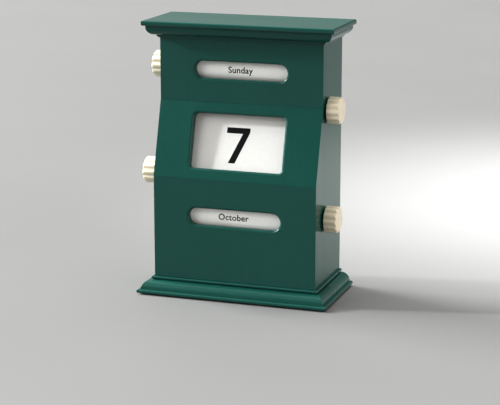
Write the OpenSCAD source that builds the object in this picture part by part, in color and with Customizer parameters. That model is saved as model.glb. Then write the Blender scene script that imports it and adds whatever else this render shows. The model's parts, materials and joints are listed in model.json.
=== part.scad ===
// Roller desk calendar: a painted wooden case with three windows and four
// rollers. Each roller is turned by a fluted knob on the side of the case.
// X runs across the front, Y runs from the front to the back, Z runs up. The
// origin is under the middle of the base. All sizes are in millimetres.

/* [Case] */
// Width of the case across its side panels
case_w = 140; // [136:1:150]
// Depth of the case at its foot
case_d = 72; // [70:1:80]
// How far the upper front stands behind the lower front
front_set_back = 18; // [16:0.5:19]
// Height of the whole calendar
total_h = 227; // [226:1:236]
// Height of the lower fold in the front
lower_fold_z = 100; // [99:0.5:101]
// Height of the upper fold in the front
upper_fold_z = 161; // [160:0.5:162]
// Thickness of the front panels
front_t = 5; // [4:0.5:5]
// Thickness of the side panels
side_t = 8; // [8:0.5:10]
// Thickness of the back panel
back_t = 4; // [3:0.5:5]
// Side of the square glue blocks in the corners
block = 10; // [8:1:11]

/* [Mouldings] */
// How far the base and the cornice stand out from the case
overhang = 12; // [11:0.5:14]
// Height of the base, with its bead
base_h = 14.3; // [14.3:0.1:17]
// Height of the cornice, with its bead
cornice_h = 14.5; // [14.5:0.5:16]
// Thickness of the felt under the base
felt_t = 1; // [0.5:0.1:1.5]
// Step between a fillet and the quarter round beside it
fillet_step = 2.8; // [2:0.1:3]
// How far the small beads stand out from the case
bead_out = 2.2; // [1.8:0.1:2.5]

/* [Windows] */
// Width of all three windows
window_w = 79; // [76:1:84]
// Height of the weekday and month windows
slot_h = 14.2; // [14:0.1:16]
// Height of the date window, along its panel
date_window_h = 45.5; // [44:0.5:47]
// Corner radius of the date window
date_window_r = 3.5; // [3:0.5:5]
// Radius that eases the windows' outer edges
ease_r = 2; // [1.5:0.1:2.5]
// Height of the middle of the weekday window
weekday_z = 187.5; // [187:0.5:188]
// Height of the middle of the month window
month_z = 68; // [66:0.5:70]

/* [Rollers] */
// Radius of the weekday roller, over its label
weekday_r = 14.5; // [14:0.1:15]
// Radius of the month roller, over its label
month_r = 21; // [20:0.5:22]
// Length of the rollers between the side panels
roller_w = 100; // [96:1:104]
// Radius of the wooden axles
axle_r = 4; // [3.9:0.05:4.1]
// Clearance between an axle and its bush
axle_gap = 0.05; // [0.02:0.01:0.08]
// Gap between a drum and the back of the front panel
drum_gap = 1; // [0.8:0.1:1.5]
// Wall of the cardboard tubes
tube_t = 1.5; // [1:0.1:2]
// Thickness of the paper labels
label_t = 0.2; // [0.15:0.05:0.3]

/* [Date tape] */
// Thickness of the date tape
tape_t = 0.12; // [0.1:0.01:0.13]
// Spacing of the numbers along the tape
number_pitch = 50; // [48:1:50]
// Numbers wound on the lower roller
numbers_below = 24; // [20:1:26]
// Numbers wound on the upper roller
numbers_above = 6; // [4:1:10]
// Depth of the lower date axle behind the lower front
date_lower_y = 15.5; // [15:0.5:16]
// Height of the lower date axle
date_lower_z = 101.5; // [101:0.5:102]
// Depth of the upper date axle behind the lower front
date_upper_y = 32; // [31.5:0.5:33]
// Height of the upper date axle
date_upper_z = 157.6; // [157:0.2:158]

/* [Knobs] */
// Radius over the knobs' lobes
knob_r = 11.2; // [10.5:0.1:12]
// Lobes round each knob
knob_lobes = 12; // [10:1:14]
// Depth of the flutes between the lobes
flute_depth = 1; // [0.6:0.1:1.2]
// Radius that rounds the knobs' outer edge
knob_round = 2; // [1:0.1:2.5]
// Thickness of the washer behind each knob
washer_t = 1.4; // [1:0.1:1.5]

/* [Hidden] */
$fn = 64;

// The frame: the back of base and cornice is flush with the case.
base_w = case_w + 2 * overhang;
base_d = case_d + overhang;
back_y = base_d / 2;
front_y = back_y - case_d;
upper_y = front_y + front_set_back;
base_top = base_h;
cornice_z = total_h - cornice_h;
inner_x = case_w / 2 - side_t;

// The sloping panel and the mitres at its folds.
slope = atan2(front_set_back, upper_fold_z - lower_fold_z);
mitre = front_t * tan(slope / 2);

// Mouldings, from the fillet inwards.
bead_h = 2.9;
fillet_h = 3.2;
top_fillet_h = 4.2;
round_r = 7.2;
top_round_r = 6.5;
nose_r = 1.4;
groove = 0.5;
bead_r = 1.1;
cornice_bead_h = 2.5;
felt_inset = 3;

// Windows.
slip = 1;
slope_mid_y = front_y + front_set_back / 2;
slope_mid_z = (lower_fold_z + upper_fold_z) / 2;

// Bushes, collars and knobs.
bush_r = 5.5;
bush_flange_r = 7.5;
bush_flange_t = 1;
blind_depth = 6;
blind_wall = 0.8;
end_play = 0.4;
collar_r = 7;
collar_t = 2;
side_play = 0.1;
disc_t = 5;
washer_r = 8;
knob_out = overhang;
knob_bore_depth = 8;
lobe_r = 2.2;
lobe_clear = 0.1;
edge_round = 0.6;

// Axle positions as [y, z].
weekday_axis = [upper_y + front_t + drum_gap + weekday_r, weekday_z];
month_axis = [front_y + front_t + drum_gap + month_r, month_z];
date_upper_axis = [front_y + date_upper_y, date_upper_z];
date_lower_axis = [front_y + date_lower_y, date_lower_z];

// The tape: a roll's radius follows from the length wound on its core. The
// straight stretch touches the fronts of both rolls, with a little clearance.
function rolled_r(numbers) =
    sqrt(axle_r * axle_r + numbers * number_pitch * tape_t / PI);
roll_low_r = rolled_r(numbers_below);
roll_up_r = rolled_r(numbers_above);
roll_full_r = rolled_r(numbers_below + numbers_above);
tape_clear = 0.3;
axis_step = date_upper_axis - date_lower_axis;
axis_gap = norm(axis_step);
tape_lean = atan2(axis_step[0], axis_step[1]) + asin((roll_low_r - roll_up_r) / axis_gap);
tape_len = sqrt(axis_gap * axis_gap - pow(roll_low_r - roll_up_r, 2));
tape_start = date_lower_axis + (roll_low_r + tape_clear) * [-cos(tape_lean), sin(tape_lean)];
plate_t = 1.5;
plate_margin = 1;

// Half the chord that a full roll cuts from the plane of the guide plate's back.
function plate_keep_out(roll_r) =
    sqrt(roll_full_r * roll_full_r - pow(roll_r + tape_clear - plate_t, 2)) + plate_margin;

// Screws. Heights in a lower glue block are shares of it: the base screws end
// below the back panel's screws.
screw_r = 1.5;
screw_head_r = 3;
screw_head_t = 1.8;
base_screw_reach = 0.45;
back_screw_height = 0.75;
base_screw_len = base_top - felt_t + base_screw_reach * block;
back_screw_len = 12;
slot_w = 0.6;
slot_t = 0.7;

// Colours.
green = [0.10, 0.27, 0.24];
cream = [0.86, 0.80, 0.68];
paper = [0.93, 0.93, 0.90];
wood = [0.80, 0.66, 0.46];
card = [0.62, 0.52, 0.40];
nylon = [0.90, 0.89, 0.84];
steel = [0.70, 0.70, 0.72];
felt = [0.08, 0.16, 0.13];

// ---- Placing and extruding ----

// Extrudes an outline drawn in [Y, Z] along X, centred on the case.
module along_x(length) {
    rotate([90, 0, 90])
        linear_extrude(length, center = true)
            children();
}

// Extrudes an outline drawn in [X, Z] from the back of the case forwards.
module along_y(length) {
    translate([0, back_y, 0])
        rotate([90, 0, 0])
            linear_extrude(length)
                children();
}

// Stands children, drawn in a panel's face with Z outwards, on a front panel.
module on_front(y, z, lean = 0) {
    translate([0, y, z])
        rotate([90 - lean, 0, 0])
            children();
}

// Turns children, drawn along Z from the case's middle, onto an axle. Side 1
// has its knob on the right and side -1 on the left.
module on_axle(axis, side) {
    translate([0, axis[0], axis[1]])
        rotate([0, 90 * side, 0])
            children();
}

module ring(outer_r, inner_r, from, to) {
    translate([0, 0, from])
        difference() {
            cylinder(r = outer_r, h = to - from);
            translate([0, 0, -slip])
                cylinder(r = inner_r, h = to - from + 2 * slip);
        }
}

// ---- Mouldings ----

// A band from inside the case to a rounded nose, for a fillet or a bead.
module nosed_band(out, from, to, r) {
    translate([-case_d, from])
        square([case_d + out - r, to - from]);
    translate([-case_d, from + r])
        square([case_d + out, to - from - 2 * r]);
    for (z = [from + r, to - r])
        translate([out - r, z])
            circle(r);
}

// A quarter round that starts upright and ends level, centred at [x, z].
module quarter_round(x, z, r) {
    translate([-case_d, z])
        square([case_d + x, r]);
    intersection() {
        translate([x, z])
            circle(r);
        translate([x, z])
            square(r);
    }
}

// Section of the base board, drawn outwards from the face of the case.
module base_section() {
    step_out = overhang - fillet_step;
    neck = base_top - bead_h - felt_t - fillet_h - round_r;
    nosed_band(overhang, felt_t, felt_t + fillet_h, nose_r);
    translate([-case_d, felt_t + fillet_h - nose_r])
        square([case_d + step_out, neck + nose_r]);
    quarter_round(step_out - round_r, felt_t + fillet_h + neck, round_r);
}

// Section of the cornice board, drawn downwards from its top.
module cornice_section() {
    step_out = overhang - fillet_step;
    neck = cornice_h - cornice_bead_h - top_fillet_h - top_round_r;
    nosed_band(overhang, 0, top_fillet_h, nose_r);
    translate([-case_d, top_fillet_h - nose_r])
        square([case_d + step_out, neck + nose_r]);
    quarter_round(step_out - top_round_r, top_fillet_h + neck, top_round_r);
}

// Section of the bead between the base board and the case.
module base_bead_section() {
    translate([-case_d, base_top - bead_h])
        square([case_d + bead_out - bead_r, groove + bead_r]);
    nosed_band(bead_out, base_top - bead_h + groove, base_top, bead_r);
}

// Section of the small cove under the cornice.
module cornice_bead_section() {
    difference() {
        translate([-case_d, cornice_z])
            square([case_d + bead_out, cornice_bead_h]);
        translate([bead_out, cornice_z])
            circle(bead_r);
    }
}

// Carries a section along the front and both sides, mitred at the corners. The
// front of the case is at y; the back is flush.
module moulded(y) {
    intersection() {
        along_x(base_w + 2 * slip)
            intersection() {
                translate([y, 0])
                    mirror([1, 0])
                        children();
                translate([y - overhang - slip, 0])
                    square([back_y - y + overhang + slip, total_h + slip]);
            }
        along_y(base_d + slip)
            for (side = [0, 1])
                mirror([side, 0])
                    translate([case_w / 2, 0])
                        children();
    }
}

module base_board() {
    color(green)
        difference() {
            moulded(front_y) base_section();
            base_screws_at() screw_hole(base_screw_len);
        }
}

module base_bead() {
    color(green)
        difference() {
            moulded(front_y) base_bead_section();
            base_screws_at() screw_hole(base_screw_len);
        }
}

module felt_base_sheet() {
    color(felt)
        translate([felt_inset - base_w / 2, felt_inset - back_y, 0])
            cube([base_w - 2 * felt_inset, base_d - 2 * felt_inset, felt_t]);
}

module cornice_bead() {
    color(green)
        moulded(upper_y) cornice_bead_section();
}

module cornice_board() {
    color(green)
        moulded(upper_y)
            translate([0, total_h])
                mirror([0, 1])
                    cornice_section();
}

// ---- Case ----

module side_outline() {
    polygon([
        [front_y + front_t, base_top],
        [front_y + front_t, lower_fold_z - mitre],
        [upper_y + front_t, upper_fold_z - mitre],
        [upper_y + front_t, cornice_z],
        [back_y, cornice_z],
        [back_y, base_top]
    ]);
}

module side_panel(side) {
    right = side == 1;
    through = right ? [month_axis, date_upper_axis] : [weekday_axis, date_lower_axis];
    blind = right ? [weekday_axis, date_lower_axis] : [month_axis, date_upper_axis];
    color(green)
        difference() {
            translate([side * (inner_x + side_t / 2), 0, 0])
                along_x(side_t) side_outline();
            for (axis = through)
                on_axle(axis, side)
                    translate([0, 0, inner_x - slip])
                        cylinder(r = bush_r, h = side_t + 2 * slip);
            for (axis = blind)
                on_axle(axis, side)
                    translate([0, 0, inner_x - slip])
                        cylinder(r = bush_r, h = blind_depth + slip);
        }
}

module left_side_panel() {
    side_panel(-1);
}

module right_side_panel() {
    side_panel(1);
}

// Half of a window's section: u runs from the window's middle line and v goes
// into the panel, whose outer edge is eased to ease_r.
module window_section(half) {
    translate([0, -slip])
        square([half + ease_r, slip]);
    difference() {
        square([half + ease_r, ease_r]);
        translate([half + ease_r, ease_r])
            circle(ease_r);
    }
    square([half, front_t + slip]);
}

// A straight stretch of window along the panel's height, half wide each way.
module window_stretch(half, length) {
    rotate([-90, 0, 0])
        linear_extrude(length, center = true)
            for (side = [0, 1])
                mirror([side, 0])
                    window_section(half);
}

// A round corner or end of a window.
module window_round(x, y, r) {
    translate([x, y, 0])
        rotate([180, 0, 0])
            rotate_extrude()
                window_section(r);
}

// The cutter for the date window, with Z out of the panel.
module date_window() {
    x = window_w / 2 - date_window_r;
    y = date_window_h / 2 - date_window_r;
    window_stretch(window_w / 2, 2 * y);
    rotate([0, 0, 90])
        window_stretch(date_window_h / 2, 2 * x);
    for (corner = [[-x, -y], [x, -y], [-x, y], [x, y]])
        window_round(corner[0], corner[1], date_window_r);
}

// The cutter for a weekday or month window, which has round ends.
module slot_window() {
    x = (window_w - slot_h) / 2;
    rotate([0, 0, 90])
        window_stretch(slot_h / 2, 2 * x);
    for (end = [-x, x])
        window_round(end, 0, slot_h / 2);
}

module lower_front_panel() {
    color(green)
        difference() {
            along_x(case_w)
                polygon([
                    [front_y, base_top],
                    [front_y, lower_fold_z],
                    [front_y + front_t, lower_fold_z - mitre],
                    [front_y + front_t, base_top]
                ]);
            on_front(front_y, month_z) slot_window();
        }
}

module middle_front_panel() {
    color(green)
        difference() {
            along_x(case_w)
                polygon([
                    [front_y, lower_fold_z],
                    [upper_y, upper_fold_z],
                    [upper_y + front_t, upper_fold_z - mitre],
                    [front_y + front_t, lower_fold_z - mitre]
                ]);
            on_front(slope_mid_y, slope_mid_z, slope) date_window();
        }
}

module upper_front_panel() {
    color(green)
        difference() {
            along_x(case_w)
                polygon([
                    [upper_y, upper_fold_z],
                    [upper_y, cornice_z],
                    [upper_y + front_t, cornice_z],
                    [upper_y + front_t, upper_fold_z - mitre]
                ]);
            on_front(upper_y, weekday_z) slot_window();
        }
}

module back_panel() {
    color(green)
        difference() {
            translate([-inner_x, back_y - back_t, base_top])
                cube([2 * inner_x, back_t, cornice_z - base_top]);
            back_screws_at() screw_hole(back_screw_len);
        }
}

// Places children at the middle of each glue block, drawn from the block's
// outer end inwards.
module at_corners(front, z) {
    for (x = [-1, 1] * (inner_x - block / 2))
        for (y = [front + front_t + block / 2, back_y - back_t - block / 2])
            translate([x, y, z])
                children();
}

module glue_block() {
    translate([-block / 2, -block / 2, 0])
        cube([block, block, block]);
}

module base_corner_blocks() {
    color(wood)
        difference() {
            at_corners(front_y, base_top) glue_block();
            base_screws_at() screw_hole(base_screw_len);
            back_screws_at() screw_hole(back_screw_len);
        }
}

module top_corner_blocks() {
    color(wood)
        difference() {
            at_corners(upper_y, cornice_z - block) glue_block();
            back_screws_at() screw_hole(back_screw_len);
        }
}

// ---- Screws ----

// A countersunk screw along Z, with its head's face at zero.
module screw_hole(length) {
    translate([0, 0, -slip])
        cylinder(r = screw_head_r, h = slip);
    cylinder(r1 = screw_head_r, r2 = screw_r, h = screw_head_t);
    cylinder(r = screw_r, h = length);
}

module screw(length) {
    difference() {
        union() {
            cylinder(r1 = screw_head_r, r2 = screw_r, h = screw_head_t);
            cylinder(r = screw_r, h = length);
        }
        translate([-screw_head_r, -slot_w / 2, -slip])
            cube([2 * screw_head_r, slot_w, slip + slot_t]);
    }
}

module base_screws_at() {
    at_corners(front_y, felt_t) children();
}

module back_screws_at() {
    for (x = [-1, 1] * (inner_x - block / 2))
        for (z = [base_top + back_screw_height * block, cornice_z - block / 2])
            translate([x, back_y, z])
                rotate([90, 0, 0])
                    children();
}

module base_screws() {
    color(steel)
        base_screws_at() screw(base_screw_len);
}

module back_panel_screws() {
    color(steel)
        back_screws_at() screw(back_screw_len);
}

// ---- Date tape ----

module date_guide_plate() {
    from = plate_keep_out(roll_low_r);
    to = tape_len - plate_keep_out(roll_up_r);
    color(card)
        on_front(tape_start[0], tape_start[1], tape_lean)
            translate([-inner_x, from, -plate_t])
                cube([2 * inner_x, to - from, plate_t]);
}

module date_tape_span() {
    color(paper)
        on_front(tape_start[0], tape_start[1], tape_lean)
            translate([-roller_w / 2, 0, 0])
                cube([roller_w, tape_len, tape_t]);
}

// ---- Bushes, one at each end of an axle ----

module knob_bush(axis, side) {
    color(nylon)
        on_axle(axis, side) {
            ring(bush_r, axle_r + axle_gap, inner_x, inner_x + side_t);
            ring(bush_flange_r, axle_r + axle_gap, inner_x - bush_flange_t, inner_x);
        }
}

module end_bush(axis, side) {
    color(nylon)
        on_axle(axis, side)
            difference() {
                union() {
                    translate([0, 0, inner_x])
                        cylinder(r = bush_r, h = blind_depth);
                    translate([0, 0, inner_x - bush_flange_t])
                        cylinder(r = bush_flange_r, h = bush_flange_t);
                }
                translate([0, 0, inner_x - bush_flange_t - slip])
                    cylinder(r = axle_r + axle_gap, h = blind_depth - blind_wall + bush_flange_t + slip);
            }
}

// ---- Roller pieces ----

module axle(axis, side) {
    far_end = inner_x + blind_depth - blind_wall - end_play;
    near_end = case_w / 2 + side_play + washer_t + knob_bore_depth;
    color(wood)
        on_axle(axis, side)
            translate([0, 0, -far_end])
                cylinder(r = axle_r, h = far_end + near_end);
}

module collar(axis, side) {
    to = inner_x - bush_flange_t - side_play;
    color(nylon)
        on_axle(axis, side) ring(collar_r, axle_r, to - collar_t, to);
}

module washer(axis, side) {
    from = case_w / 2 + side_play;
    color(card)
        on_axle(axis, side) ring(washer_r, axle_r, from, from + washer_t);
}

module lobed_outline() {
    circle(knob_r - flute_depth);
    for (i = [0 : knob_lobes - 1])
        rotate(i * 360 / knob_lobes)
            translate([knob_r - lobe_r, 0])
                circle(lobe_r);
}

// Takes a corner of r off an outline, with its point at the origin and the
// material on the side of negative x and of positive y times up.
module eased_corner(r, up) {
    difference() {
        translate([-r, up > 0 ? -slip : -r])
            square([r + slip, r + slip]);
        translate([-r, up * r])
            circle(r);
    }
}

// Half section of the knob's envelope, which stands just clear of the lobes:
// the inner edge is eased a little and the outer edge is well rounded.
module knob_half_section(length) {
    difference() {
        square([knob_r + lobe_clear, length]);
        translate([knob_r + lobe_clear, 0])
            eased_corner(edge_round, 1);
        translate([knob_r + lobe_clear, length])
            eased_corner(knob_round, -1);
    }
}

module knob(axis, side) {
    from = case_w / 2 + side_play + washer_t;
    length = case_w / 2 + knob_out - from;
    color(cream)
        on_axle(axis, side)
            translate([0, 0, from])
                difference() {
                    intersection() {
                        linear_extrude(length)
                            lobed_outline();
                        rotate_extrude()
                            knob_half_section(length);
                    }
                    translate([0, 0, -slip])
                        cylinder(r = axle_r, h = knob_bore_depth + slip);
                }
}

module tube(axis, r) {
    color(card)
        on_axle(axis, 1)
            ring(r - label_t, r - label_t - tube_t, -roller_w / 2, roller_w / 2);
}

module label(axis, r) {
    color(paper)
        on_axle(axis, 1)
            ring(r, r - label_t, -roller_w / 2, roller_w / 2);
}

module end_discs(axis, r) {
    color(wood)
        for (side = [-1, 1])
            on_axle(axis, side)
                ring(r - label_t - tube_t, axle_r, roller_w / 2 - disc_t, roller_w / 2);
}

module tape_roll(axis, r) {
    color(paper)
        on_axle(axis, 1)
            ring(r, axle_r, -roller_w / 2, roller_w / 2);
}

// ---- The weekday roller, knob on the left ----

module weekday_axle() { axle(weekday_axis, -1); }
module weekday_tube() { tube(weekday_axis, weekday_r); }
module weekday_end_discs() { end_discs(weekday_axis, weekday_r); }
module weekday_label() { label(weekday_axis, weekday_r); }
module weekday_collar() { collar(weekday_axis, -1); }
module weekday_washer() { washer(weekday_axis, -1); }
module weekday_knob() { knob(weekday_axis, -1); }
module weekday_knob_bush() { knob_bush(weekday_axis, -1); }
module weekday_end_bush() { end_bush(weekday_axis, 1); }

// ---- The month roller, knob on the right ----

module month_axle() { axle(month_axis, 1); }
module month_tube() { tube(month_axis, month_r); }
module month_end_discs() { end_discs(month_axis, month_r); }
module month_label() { label(month_axis, month_r); }
module month_collar() { collar(month_axis, 1); }
module month_washer() { washer(month_axis, 1); }
module month_knob() { knob(month_axis, 1); }
module month_knob_bush() { knob_bush(month_axis, 1); }
module month_end_bush() { end_bush(month_axis, -1); }

// ---- The upper date roller, knob on the right ----

module date_upper_axle() { axle(date_upper_axis, 1); }
module date_upper_tape() { tape_roll(date_upper_axis, roll_up_r); }
module date_upper_collar() { collar(date_upper_axis, 1); }
module date_upper_washer() { washer(date_upper_axis, 1); }
module date_upper_knob() { knob(date_upper_axis, 1); }
module date_upper_knob_bush() { knob_bush(date_upper_axis, 1); }
module date_upper_end_bush() { end_bush(date_upper_axis, -1); }

// ---- The lower date roller, knob on the left ----

module date_lower_axle() { axle(date_lower_axis, -1); }
module date_lower_tape() { tape_roll(date_lower_axis, roll_low_r); }
module date_lower_collar() { collar(date_lower_axis, -1); }
module date_lower_washer() { washer(date_lower_axis, -1); }
module date_lower_knob() { knob(date_lower_axis, -1); }
module date_lower_knob_bush() { knob_bush(date_lower_axis, -1); }
module date_lower_end_bush() { end_bush(date_lower_axis, 1); }

base_board();
base_bead();
felt_base_sheet();
left_side_panel();
right_side_panel();
lower_front_panel();
middle_front_panel();
upper_front_panel();
back_panel();
back_panel_screws();
base_screws();
base_corner_blocks();
top_corner_blocks();
cornice_bead();
cornice_board();
date_guide_plate();
date_tape_span();
weekday_knob_bush();
weekday_end_bush();
month_knob_bush();
month_end_bush();
date_upper_knob_bush();
date_upper_end_bush();
date_lower_knob_bush();
date_lower_end_bush();
weekday_axle();
weekday_tube();
weekday_end_discs();
weekday_label();
weekday_collar();
weekday_washer();
weekday_knob();
month_axle();
month_tube();
month_end_discs();
month_label();
month_collar();
month_washer();
month_knob();
date_upper_axle();
date_upper_tape();
date_upper_collar();
date_upper_washer();
date_upper_knob();
date_lower_axle();
date_lower_tape();
date_lower_collar();
date_lower_washer();
date_lower_knob();
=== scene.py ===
"""The looks of a roller desk calendar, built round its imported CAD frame.

Lengths are in metres, in the frame of the CAD: X to the right, Y to the back, Z up.
"""
import json
import math

import bmesh
import bpy
from mathutils import Matrix, Vector


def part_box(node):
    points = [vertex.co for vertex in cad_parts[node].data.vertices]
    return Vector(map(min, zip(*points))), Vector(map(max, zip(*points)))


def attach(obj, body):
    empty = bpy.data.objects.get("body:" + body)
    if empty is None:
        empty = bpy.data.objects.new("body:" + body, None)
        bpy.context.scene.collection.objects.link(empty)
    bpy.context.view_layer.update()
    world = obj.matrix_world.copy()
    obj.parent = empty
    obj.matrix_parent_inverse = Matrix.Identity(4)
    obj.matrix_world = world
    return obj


MM = 0.001

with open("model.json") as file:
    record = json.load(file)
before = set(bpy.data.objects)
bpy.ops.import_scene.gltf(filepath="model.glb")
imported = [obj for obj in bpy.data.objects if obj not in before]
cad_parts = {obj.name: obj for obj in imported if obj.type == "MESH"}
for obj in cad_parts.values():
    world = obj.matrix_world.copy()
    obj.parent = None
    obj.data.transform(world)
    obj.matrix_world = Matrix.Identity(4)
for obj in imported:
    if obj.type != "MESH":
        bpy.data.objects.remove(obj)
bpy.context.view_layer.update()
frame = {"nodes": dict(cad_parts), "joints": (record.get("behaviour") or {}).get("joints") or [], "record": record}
nodes = frame["nodes"]
joints = {joint["name"]: joint for joint in frame["joints"]}
scene = bpy.context.scene


# ---- Shader nodes ----


class NodeTree:
    """A node tree in the making. Its calls add a node each and return what the node gives."""

    def __init__(self, tree):
        self.tree = tree

    def set(self, node, values):
        """Sets sockets of a node, each to a number or colour or by a link from another node."""
        for key, value in values.items():
            if isinstance(value, bpy.types.NodeSocket):
                self.tree.links.new(value, node.inputs[key])
            else:
                node.inputs[key].default_value = value

    def add(self, kind, values=None, **settings):
        node = self.tree.nodes.new(kind)
        for key, value in settings.items():
            setattr(node, key, value)
        self.set(node, values or {})
        return node

    def calculate(self, operation, a, b):
        return self.add("ShaderNodeMath", {0: a, 1: b}, operation=operation).outputs[0]

    def ramp(self, value, low, high, start=0.35, end=0.65, **settings):
        """Takes a value between start and end to the range from low to high."""
        values = {"Value": value, "From Min": start, "From Max": end, "To Min": low, "To Max": high}
        return self.add("ShaderNodeMapRange", values, **settings).outputs["Result"]


class Shader(NodeTree):
    """A material in the making, on a Principled shader."""

    def __init__(self, name, colour, roughness, ior=1.5, **sockets):
        self.material = bpy.data.materials.new(name)
        self.material.use_nodes = True
        super().__init__(self.material.node_tree)
        self.bsdf = self.tree.nodes["Principled BSDF"]
        self.set(self.bsdf, {"Base Color": (*colour, 1), "Roughness": roughness, "IOR": ior, **sockets})
        self.place = self.add("ShaderNodeTexCoord").outputs["Object"]

    def noise(self, size, detail=3, stretch=(1, 1, 1), rough=0.5):
        """Noise from 0 to 1 with features of about that size, longer along axes with a small stretch."""
        scale = tuple(share / size for share in stretch)
        vector = self.add("ShaderNodeMapping", {"Vector": self.place, "Scale": scale}).outputs["Vector"]
        values = {"Vector": vector, "Scale": 1, "Detail": detail, "Roughness": rough}
        return self.add("ShaderNodeTexNoise", values).outputs["Fac"]

    def mix(self, factor, a, b):
        """A colour between a and b."""
        node = self.add("ShaderNodeMix", {"Factor": factor}, data_type="RGBA")
        sockets = {socket.identifier: socket for socket in node.inputs}
        for key, colour in (("A_Color", a), ("B_Color", b)):
            if isinstance(colour, bpy.types.NodeSocket):
                self.tree.links.new(colour, sockets[key])
            else:
                sockets[key].default_value = (*colour, 1)
        return next(output for output in node.outputs if output.identifier == "Result_Color")

    def colour(self, value):
        self.set(self.bsdf, {"Base Color": value})

    def roughness(self, value):
        self.set(self.bsdf, {"Roughness": value})

    def bump(self, height, depth):
        """Adds relief of that depth on top of the relief so far."""
        values = {"Height": height, "Distance": depth, "Strength": 1.0}
        normal = self.bsdf.inputs["Normal"]
        if normal.links:
            values["Normal"] = normal.links[0].from_socket
        self.set(self.bsdf, {"Normal": self.add("ShaderNodeBump", values).outputs["Normal"]})


# ---- Materials ----

GREEN = (0.0085, 0.062, 0.050)
GREEN_THIN = (0.010, 0.067, 0.054)
CREAM = (0.72, 0.65, 0.51)
# One white paper, set whiter on the labels and greyer and warmer on the tape: painted light on the labels in their
# shaded slots, painted shade on the tape where the window light falls
LABEL_WHITE_PAINTED_LIGHT = (0.92, 0.915, 0.89)
TAPE_WHITE_PAINTED_SHADE = (0.625, 0.617, 0.6)
FLOOR_GREY = (0.16, 0.16, 0.158)
ALONG_X = (0.04, 1, 1)
ALONG_Z = (1, 1, 0.04)


def tinted(colour, red, green, blue):
    """A colour with each channel scaled by its own share."""
    return (colour[0] * red, colour[1] * green, colour[2] * blue)


def green_paint(name, grain):
    """Satin paint over fine-grained wood, a little thin along its brush streaks."""
    paint = Shader(name, GREEN, 0.2, ior=1.38)
    patches = paint.ramp(paint.noise(50 * MM), 0, 1)
    streaks = paint.ramp(paint.noise(2.2 * MM, 4, grain, 0.6), 0, 1)
    paint.colour(paint.mix(paint.calculate("MULTIPLY", patches, streaks), GREEN, GREEN_THIN))
    paint.roughness(paint.ramp(paint.noise(20 * MM, 2, grain), 0.17, 0.22))
    paint.bump(paint.noise(1.6 * MM, 3, grain, 0.55), 0.003 * MM)
    return paint.material


def cream_paint():
    """Smooth satin cream paint on turned wood, a little darker in places."""
    paint = Shader("cream_paint", CREAM, 0.38, ior=1.45)
    patches = paint.ramp(paint.noise(6 * MM), 0, 1)
    paint.colour(paint.mix(patches, CREAM, tinted(CREAM, 0.97, 0.94, 0.9)))
    paint.roughness(paint.ramp(paint.noise(4 * MM), 0.34, 0.44))
    paint.bump(paint.noise(1.6 * MM, 3, (0.12, 1, 1)), 0.006 * MM)
    return paint.material


def paper(name, white):
    """Matt paper with short fibres and a faint mottle."""
    sheet = Shader(name, white, 0.75, ior=1.4)
    mottle = sheet.ramp(sheet.noise(3 * MM, 5), 0, 1, 0.3, 0.7)
    sheet.colour(sheet.mix(mottle, white, tinted(white, 0.965, 0.965, 0.965)))
    sheet.bump(sheet.noise(0.35 * MM, 5, (0.35, 1, 1), 0.7), 0.012 * MM)
    return sheet.material


def black_ink():
    """Black print, which keeps some of the paper's relief."""
    ink = Shader("print_black", (0.003, 0.003, 0.0035), 0.55, ior=1.2)
    ink.roughness(ink.ramp(ink.noise(1.2 * MM), 0.5, 0.65))
    ink.bump(ink.noise(0.35 * MM, 4), 0.006 * MM)
    return ink.material


def bare_wood():
    """Pale wood with its grain along X."""
    wood = Shader("bare_wood", (0.6, 0.43, 0.26), 0.6)
    rings = wood.ramp(wood.noise(3.5 * MM, 5, (0.06, 1, 1), 0.6), 0, 1)
    pores = wood.ramp(wood.noise(0.7 * MM, 3, (0.1, 1, 1)), 0, 1, 0.55, 0.7)
    grain = wood.mix(rings, (0.66, 0.49, 0.31), (0.52, 0.35, 0.2))
    wood.colour(wood.mix(wood.calculate("MULTIPLY", pores, 0.6), grain, (0.33, 0.2, 0.11)))
    wood.roughness(wood.ramp(rings, 0.55, 0.7, 0, 1))
    wood.bump(rings, 0.05 * MM)
    wood.bump(pores, -0.04 * MM)
    return wood.material


def brown_card():
    """Grey-brown board with pressed fibres."""
    board = Shader("card", (0.36, 0.28, 0.2), 0.85)
    fibres = board.ramp(board.noise(1 * MM, 5, (0.5, 1, 1), 0.7), 0, 1)
    board.colour(board.mix(fibres, (0.4, 0.32, 0.23), (0.29, 0.22, 0.15)))
    board.bump(fibres, 0.03 * MM)
    return board.material


def painted_shade_card():
    """The thin washers behind the knobs, near black: painted shade for the dark gap between each knob and the
    side.
    """
    board = Shader("painted_shade_card", (0.012, 0.012, 0.011), 0.8)
    board.roughness(board.ramp(board.noise(1.5 * MM), 0.7, 0.9))
    board.bump(board.noise(0.5 * MM, 4), 0.02 * MM)
    return board.material


def nylon():
    """Natural white nylon, slightly waxy."""
    plastic = Shader("nylon", (0.78, 0.76, 0.7), 0.42, **{"Subsurface Weight": 0.1})
    plastic.roughness(plastic.ramp(plastic.noise(3 * MM), 0.36, 0.5))
    plastic.bump(plastic.noise(0.8 * MM), 0.01 * MM)
    return plastic.material


def steel():
    """Zinc-plated steel with turning marks and dull patches."""
    metal = Shader("steel", (0.55, 0.55, 0.57), 0.35, Metallic=1.0)
    patches = metal.ramp(metal.noise(1.6 * MM), 0, 1)
    metal.colour(metal.mix(patches, (0.62, 0.62, 0.63), (0.42, 0.42, 0.45)))
    metal.roughness(metal.ramp(metal.noise(0.9 * MM), 0.28, 0.5))
    metal.bump(metal.noise(0.4 * MM, 2, (1, 1, 3)), 0.012 * MM)
    return metal.material


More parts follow.
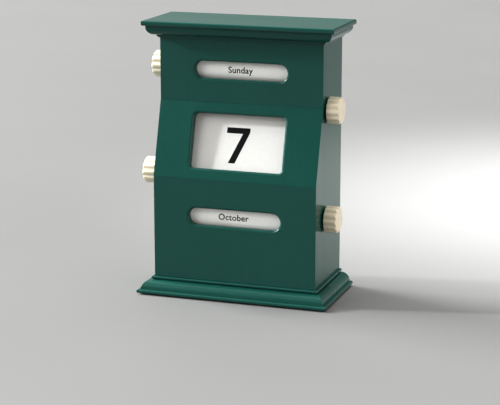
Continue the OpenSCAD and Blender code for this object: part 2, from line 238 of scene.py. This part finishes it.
def felt():
    """Dark green felt: matted fibres with a soft sheen."""
    cloth = Shader("felt", (0.01, 0.03, 0.022), 0.95, **{"Sheen Weight": 0.4, "Sheen Roughness": 0.5})
    fibres = cloth.noise(0.6 * MM, 6, rough=0.75)
    cloth.colour(cloth.mix(cloth.ramp(fibres, 0, 1), (0.007, 0.022, 0.016), (0.02, 0.05, 0.038)))
    cloth.bump(fibres, 0.25 * MM)
    return cloth.material


def floor_finish():
    """A plain pale floor with the faintest mottle."""
    plain = Shader("floor", FLOOR_GREY, 0.6)
    mottle = plain.ramp(plain.noise(300 * MM), 0, 1)
    plain.colour(plain.mix(mottle, FLOOR_GREY, tinted(FLOOR_GREY, 0.97, 0.97, 0.97)))
    return plain.material


# What each of the record's material slots is finished in
FINISHES = {
    "painted_wood": green_paint("green_paint_upright", ALONG_Z),
    "cream_knob": cream_paint(),
    # The labels' paper is whitened, as painted light
    "paper": paper("label_paper_painted_light", LABEL_WHITE_PAINTED_LIGHT),
    "bare_wood": bare_wood(),
    "card": brown_card(),
    "nylon": nylon(),
    "steel": steel(),
    "felt": felt(),
}
paint_level = green_paint("green_paint_level", ALONG_X)
# The tape is the same paper greyed and warmed, as painted shade
tape_paper_painted_shade = paper("tape_paper_painted_shade", TAPE_WHITE_PAINTED_SHADE)
washer_painted_shade = painted_shade_card()
print_black = black_ink()

# The nodes whose finish is not their slot's
OWN_FINISH = {
    "base_board": paint_level,
    "base_bead": paint_level,
    "cornice_bead": paint_level,
    "cornice_board": paint_level,
    "date_tape_span": tape_paper_painted_shade,
    "date_upper_tape": tape_paper_painted_shade,
    "date_lower_tape": tape_paper_painted_shade,
    # The washers take near-black card, painted shade for the gap behind the knobs
    **{name: washer_painted_shade for name in nodes if name.endswith("washer")},
}


# ---- The CAD nodes: finishes and eased edges ----

# How far each finish's sharp edges are rounded. Short edges beside a curve hold it back.
EDGE_EASE = {
    "painted_wood": 0.4 * MM,
    "cream_knob": 0.25 * MM,
    "bare_wood": 0.3 * MM,
    "nylon": 0.15 * MM,
    "card": 0.08 * MM,
    "felt": 0.3 * MM,
    "steel": 0.08 * MM,
}
# The fronts meet at the folds, where more than this would show as a dark groove
FRONT_EASE = 0.22 * MM
SHARP = math.radians(32)
WELD_WITHIN = 0.002 * MM
# How far large faces outweigh small ones in the shading: 50 is neutral and 100 the most
LARGE_FACE_WEIGHT = 60


def finish_node(name, slot):
    """Gives a CAD node its finish, and eases its sharp edges with modifiers."""
    piece = nodes[name]
    piece.data.materials.clear()
    piece.data.materials.append(OWN_FINISH.get(name, FINISHES[slot]))
    if slot not in EDGE_EASE:
        return
    weld = piece.modifiers.new("weld", "WELD")
    weld.merge_threshold = WELD_WITHIN
    ease = piece.modifiers.new("ease", "BEVEL")
    ease.width = FRONT_EASE if name.endswith("front_panel") else EDGE_EASE[slot]
    ease.segments = 3
    ease.limit_method = "ANGLE"
    ease.angle_limit = SHARP
    ease.use_clamp_overlap = True
    ease.harden_normals = False
    shade = piece.modifiers.new("shade", "WEIGHTED_NORMAL")
    shade.keep_sharp = False
    shade.weight = LARGE_FACE_WEIGHT


for part in frame["record"]["subparts"]:
    finish_node(part["node"], part["material_slot"])


# ---- Lettering ----

# Print is a slab that stands this far out of the paper, and goes as far into it
LETTER_PROUD = 0.04 * MM
LETTER_SIZE = 7.2 * MM
# How much the strokes are thickened, as a share of the size. More makes outlines touch themselves.
LETTER_BOLD = 0.016
LETTER_SPACE = 1.04
# Half the height of a capital, as a share of the size
CAP_MIDDLE = 0.33
# How far left of the middle of the windows the print is centred
PRINT_LEFT = 2.1 * MM
# The height of the strips that a word is cut into, so that it bends round its roller
WORD_CUT = 0.8 * MM
SAME_CORNER = 1e-7
WEEKDAYS = ["Sunday", "Monday", "Tuesday", "Wednesday", "Thursday", "Friday", "Saturday"]
MONTHS = ["January", "February", "March", "April", "May", "June", "July",
          "August", "September", "October", "November", "December"]


def solid_letters(flat, name):
    """Turns a flat mesh in the XY plane into a closed slab, LETTER_PROUD to each side of it."""
    work = bmesh.new()
    work.from_mesh(flat)
    bmesh.ops.remove_doubles(work, verts=work.verts, dist=SAME_CORNER)
    lower = list(work.verts)
    rims = [edge.verts[:] for edge in work.edges if edge.is_boundary]
    outlines = [face.verts[:] for face in work.faces]
    upper = {vertex: work.verts.new(vertex.co + Vector((0, 0, LETTER_PROUD))) for vertex in lower}
    for outline in outlines:
        work.faces.new([upper[vertex] for vertex in outline])
    for a, b in rims:
        work.faces.new((a, b, upper[b], upper[a]))
    bmesh.ops.translate(work, verts=lower, vec=(0, 0, -LETTER_PROUD))
    bmesh.ops.recalc_face_normals(work, faces=work.faces)
    mesh = bpy.data.meshes.new(name)
    work.to_mesh(mesh)
    work.free()
    return mesh


def word_outline(word, size):
    """A word in the built-in plain typeface, as a flat mesh centred PRINT_LEFT of the origin."""
    curve = bpy.data.curves.new("word", "FONT")
    curve.body = word
    curve.size = 1
    curve.offset = LETTER_BOLD
    curve.resolution_u = 8
    curve.space_character = LETTER_SPACE
    holder = bpy.data.objects.new("word", curve)
    scene.collection.objects.link(holder)
    bpy.context.view_layer.update()
    shown = holder.evaluated_get(bpy.context.evaluated_depsgraph_get())
    flat = bpy.data.meshes.new_from_object(shown)
    bpy.data.objects.remove(holder)
    bpy.data.curves.remove(curve)
    left = min(vertex.co.x for vertex in flat.vertices)
    right = max(vertex.co.x for vertex in flat.vertices)
    to_middle = Matrix.Translation((-(left + right) / 2, -CAP_MIDDLE, 0))
    flat.transform(Matrix.Translation((-PRINT_LEFT, 0, 0)) @ Matrix.Scale(size, 4) @ to_middle)
    return flat


def cut_across(mesh, step):
    """Cuts a flat mesh along level lines, so that it can bend smoothly."""
    work = bmesh.new()
    work.from_mesh(mesh)
    low = min(vertex.co.y for vertex in work.verts)
    high = max(vertex.co.y for vertex in work.verts)
    for i in range(1, math.ceil((high - low) / step)):
        bmesh.ops.bisect_plane(work, geom=work.verts[:] + work.edges[:] + work.faces[:],
                               plane_co=(0, low + i * step, 0), plane_no=(0, 1, 0))
    work.to_mesh(mesh)
    work.free()


def add_print(name, mesh, body):
    """Adds a printed word or number that moves with a body."""
    piece = bpy.data.objects.new(name, mesh)
    scene.collection.objects.link(piece)
    mesh.materials.append(print_black)
    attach(piece, body)


def print_round(words, first, roller, label):
    """Prints words round a roller's label, evenly spaced, with the first one at the front."""
    axis = Vector(joints[label.replace("_label", "_spin")]["pos_m"])
    low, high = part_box(label)
    radius = (high.z - low.z) / 2
    for i, word in enumerate(words):
        flat = word_outline(word, LETTER_SIZE)
        cut_across(flat, WORD_CUT)
        mesh = solid_letters(flat, word.lower())
        turn = -2 * math.pi * (i - words.index(first)) / len(words)
        for vertex in mesh.vertices:
            across, up, out = vertex.co
            angle = up / radius + turn
            reach = radius + out
            vertex.co = (across, axis.y - reach * math.cos(angle), axis.z + reach * math.sin(angle))
        add_print(f"print_{word.lower()}", mesh, roller)


print_round(WEEKDAYS, "Sunday", "weekday_roller", "weekday_label")
print_round(MONTHS, "October", "month_roller", "month_label")

# The corners of the seven in millimetres, from the top left, in plain straight strokes: x from
# its left side and y from its foot
SEVEN = [(0, 29.6), (0, 24.8), (14.0, 24.8), (3.4, 0), (9.2, 0), (20, 26), (20, 29.6)]
# How far the middle of the seven is up the stretch of tape, in millimetres
SEVEN_UP = 23.7


def print_seven():
    """Prints the number on the stretch of tape behind the date window."""
    corners = [vertex.co for vertex in nodes["date_tape_span"].data.vertices]
    foot = min(corners, key=lambda corner: corner.y)
    head = max(corners, key=lambda corner: corner.z)
    up = Vector((0, head.y - foot.y, head.z - foot.z)).normalized()
    out = Vector((0, -up.z, up.y))
    middle_x = max(x for x, y in SEVEN) / 2
    middle_y = max(y for x, y in SEVEN) / 2
    outline = [((x - middle_x) * MM - PRINT_LEFT, (y - middle_y + SEVEN_UP) * MM, 0) for x, y in SEVEN]
    flat = bpy.data.meshes.new("seven_flat")
    flat.from_pydata(outline, [], [range(len(outline))])
    mesh = solid_letters(flat, "seven")
    for vertex in mesh.vertices:
        across, along, proud = vertex.co
        vertex.co = Vector((across, foot.y, foot.z)) + along * up + proud * out
    add_print("print_seven", mesh, "case")


print_seven()


# ---- Camera ----

CAMERA_AT = Vector((0.4468, -1.2961, 0.4017))
CAMERA_AIM = Vector((0, 0.0116, 0.0731))
# In millimetres, as Blender's camera has them
CAMERA_LENS = 121.8
CAMERA_SENSOR = 36

camera = bpy.data.objects.new("camera", bpy.data.cameras.new("camera"))
camera.data.lens = CAMERA_LENS
camera.data.sensor_width = CAMERA_SENSOR
camera.data.sensor_fit = "HORIZONTAL"
camera.location = CAMERA_AT
camera.rotation_euler = (CAMERA_AIM - CAMERA_AT).to_track_quat("-Z", "Y").to_euler()
scene.collection.objects.link(camera)
scene.camera = camera


# ---- Floor and light ----

FLOOR_HALF = 8
WINDOW_TINT = (0.96, 0.985, 1.0)
SKY_TINT = (1.0, 0.985, 0.955)
LAMP_RADIUS = 0.2
# Heights in the sky, from 0 at the horizon to 1 straight up, where its sides give way to overhead
SIDES_END = 0.3
OVERHEAD_STARTS = 0.8
# The left sky turns into the right one, and front into back, where a direction leans less than
# this to either
SIDE_BLEND = 0.05


def add_floor():
    mesh = bpy.data.meshes.new("floor")
    corners = [(x * FLOOR_HALF, y * FLOOR_HALF, 0) for x, y in ((-1, -1), (1, -1), (1, 1), (-1, 1))]
    mesh.from_pydata(corners, [], [(0, 1, 2, 3)])
    mesh.materials.append(floor_finish())
    floor = bpy.data.objects.new("floor", mesh)
    scene.collection.objects.link(floor)


def add_sun(name, towards, strength, spread, colour=(1, 1, 1)):
    """Light from far away in the direction towards, spread over that many degrees of sky."""
    light = bpy.data.lights.new(name, "SUN")
    light.energy = strength
    light.color = colour
    light.angle = math.radians(spread)
    lamp = bpy.data.objects.new(name, light)
    lamp.rotation_euler = Vector(towards).to_track_quat("Z", "Y").to_euler()
    scene.collection.objects.link(lamp)


def add_spot(name, place, aim, power, cone):
    """A lamp whose cone, that many degrees wide, fades out from its middle."""
    light = bpy.data.lights.new(name, "SPOT")
    light.energy = power
    light.spot_size = math.radians(cone)
    light.spot_blend = 1.0
    light.shadow_soft_size = LAMP_RADIUS
    lamp = bpy.data.objects.new(name, light)
    lamp.location = place
    lamp.rotation_euler = (Vector(aim) - Vector(place)).to_track_quat("-Z", "Y").to_euler()
    scene.collection.objects.link(lamp)


def add_sky(left, right, front, back, above):
    """Soft surroundings, with a brightness of its own for each side and for overhead."""
    world = bpy.data.worlds.new("studio")
    world.use_nodes = True
    world.node_tree.nodes.clear()
    sky = NodeTree(world.node_tree)

    def share(coordinate, low_side, high_side):
        """The brightness of the side that a direction leans to, times how far it leans."""
        side = sky.ramp(coordinate, low_side, high_side, -SIDE_BLEND, SIDE_BLEND)
        return sky.calculate("MULTIPLY", sky.calculate("MULTIPLY", coordinate, coordinate), side)

    direction = sky.add("ShaderNodeTexCoord").outputs["Generated"]
    x, y, z = sky.add("ShaderNodeSeparateXYZ", {0: direction}).outputs
    flatness = sky.calculate("SUBTRACT", 1.0, sky.calculate("MULTIPLY", z, z))
    level = sky.calculate("MAXIMUM", flatness, 0.001)
    shares = sky.calculate("ADD", share(x, left, right), share(y, front, back))
    overhead = sky.ramp(z, 0, 1, SIDES_END, OVERHEAD_STARTS, interpolation_type="SMOOTHSTEP")
    sides = sky.calculate("MULTIPLY", sky.calculate("DIVIDE", shares, level),
                          sky.calculate("SUBTRACT", 1.0, overhead))
    total = sky.calculate("ADD", sides, sky.calculate("MULTIPLY", overhead, above))
    shine = sky.add("ShaderNodeBackground", {"Color": (*SKY_TINT, 1), "Strength": total})
    sky.add("ShaderNodeOutputWorld", {"Surface": shine.outputs[0]})
    scene.world = world


add_floor()
add_sun("window", towards=(-0.912, -0.184, 0.368), strength=4.0, spread=4, colour=WINDOW_TINT)
add_sun("window_bounce", towards=(-0.7, -0.55, 0.5), strength=1.0, spread=35)
add_sun("high_left", towards=(-0.85, 0.1, 0.6), strength=6.6, spread=30)
add_sun("overhead", towards=(0, 0.1, 1), strength=0.6, spread=50)
# The bright patch of floor behind, which the right side mirrors
add_spot("back_floor", place=(0.25, 0.42, 1.6), aim=(0.25, 0.42, 0), power=340, cone=30)
add_sky(left=1.4, right=2.1, front=0.03, back=0.17, above=0.6)
scene.view_settings.view_transform = "Standard"
scene.view_settings.look = "Medium High Contrast"
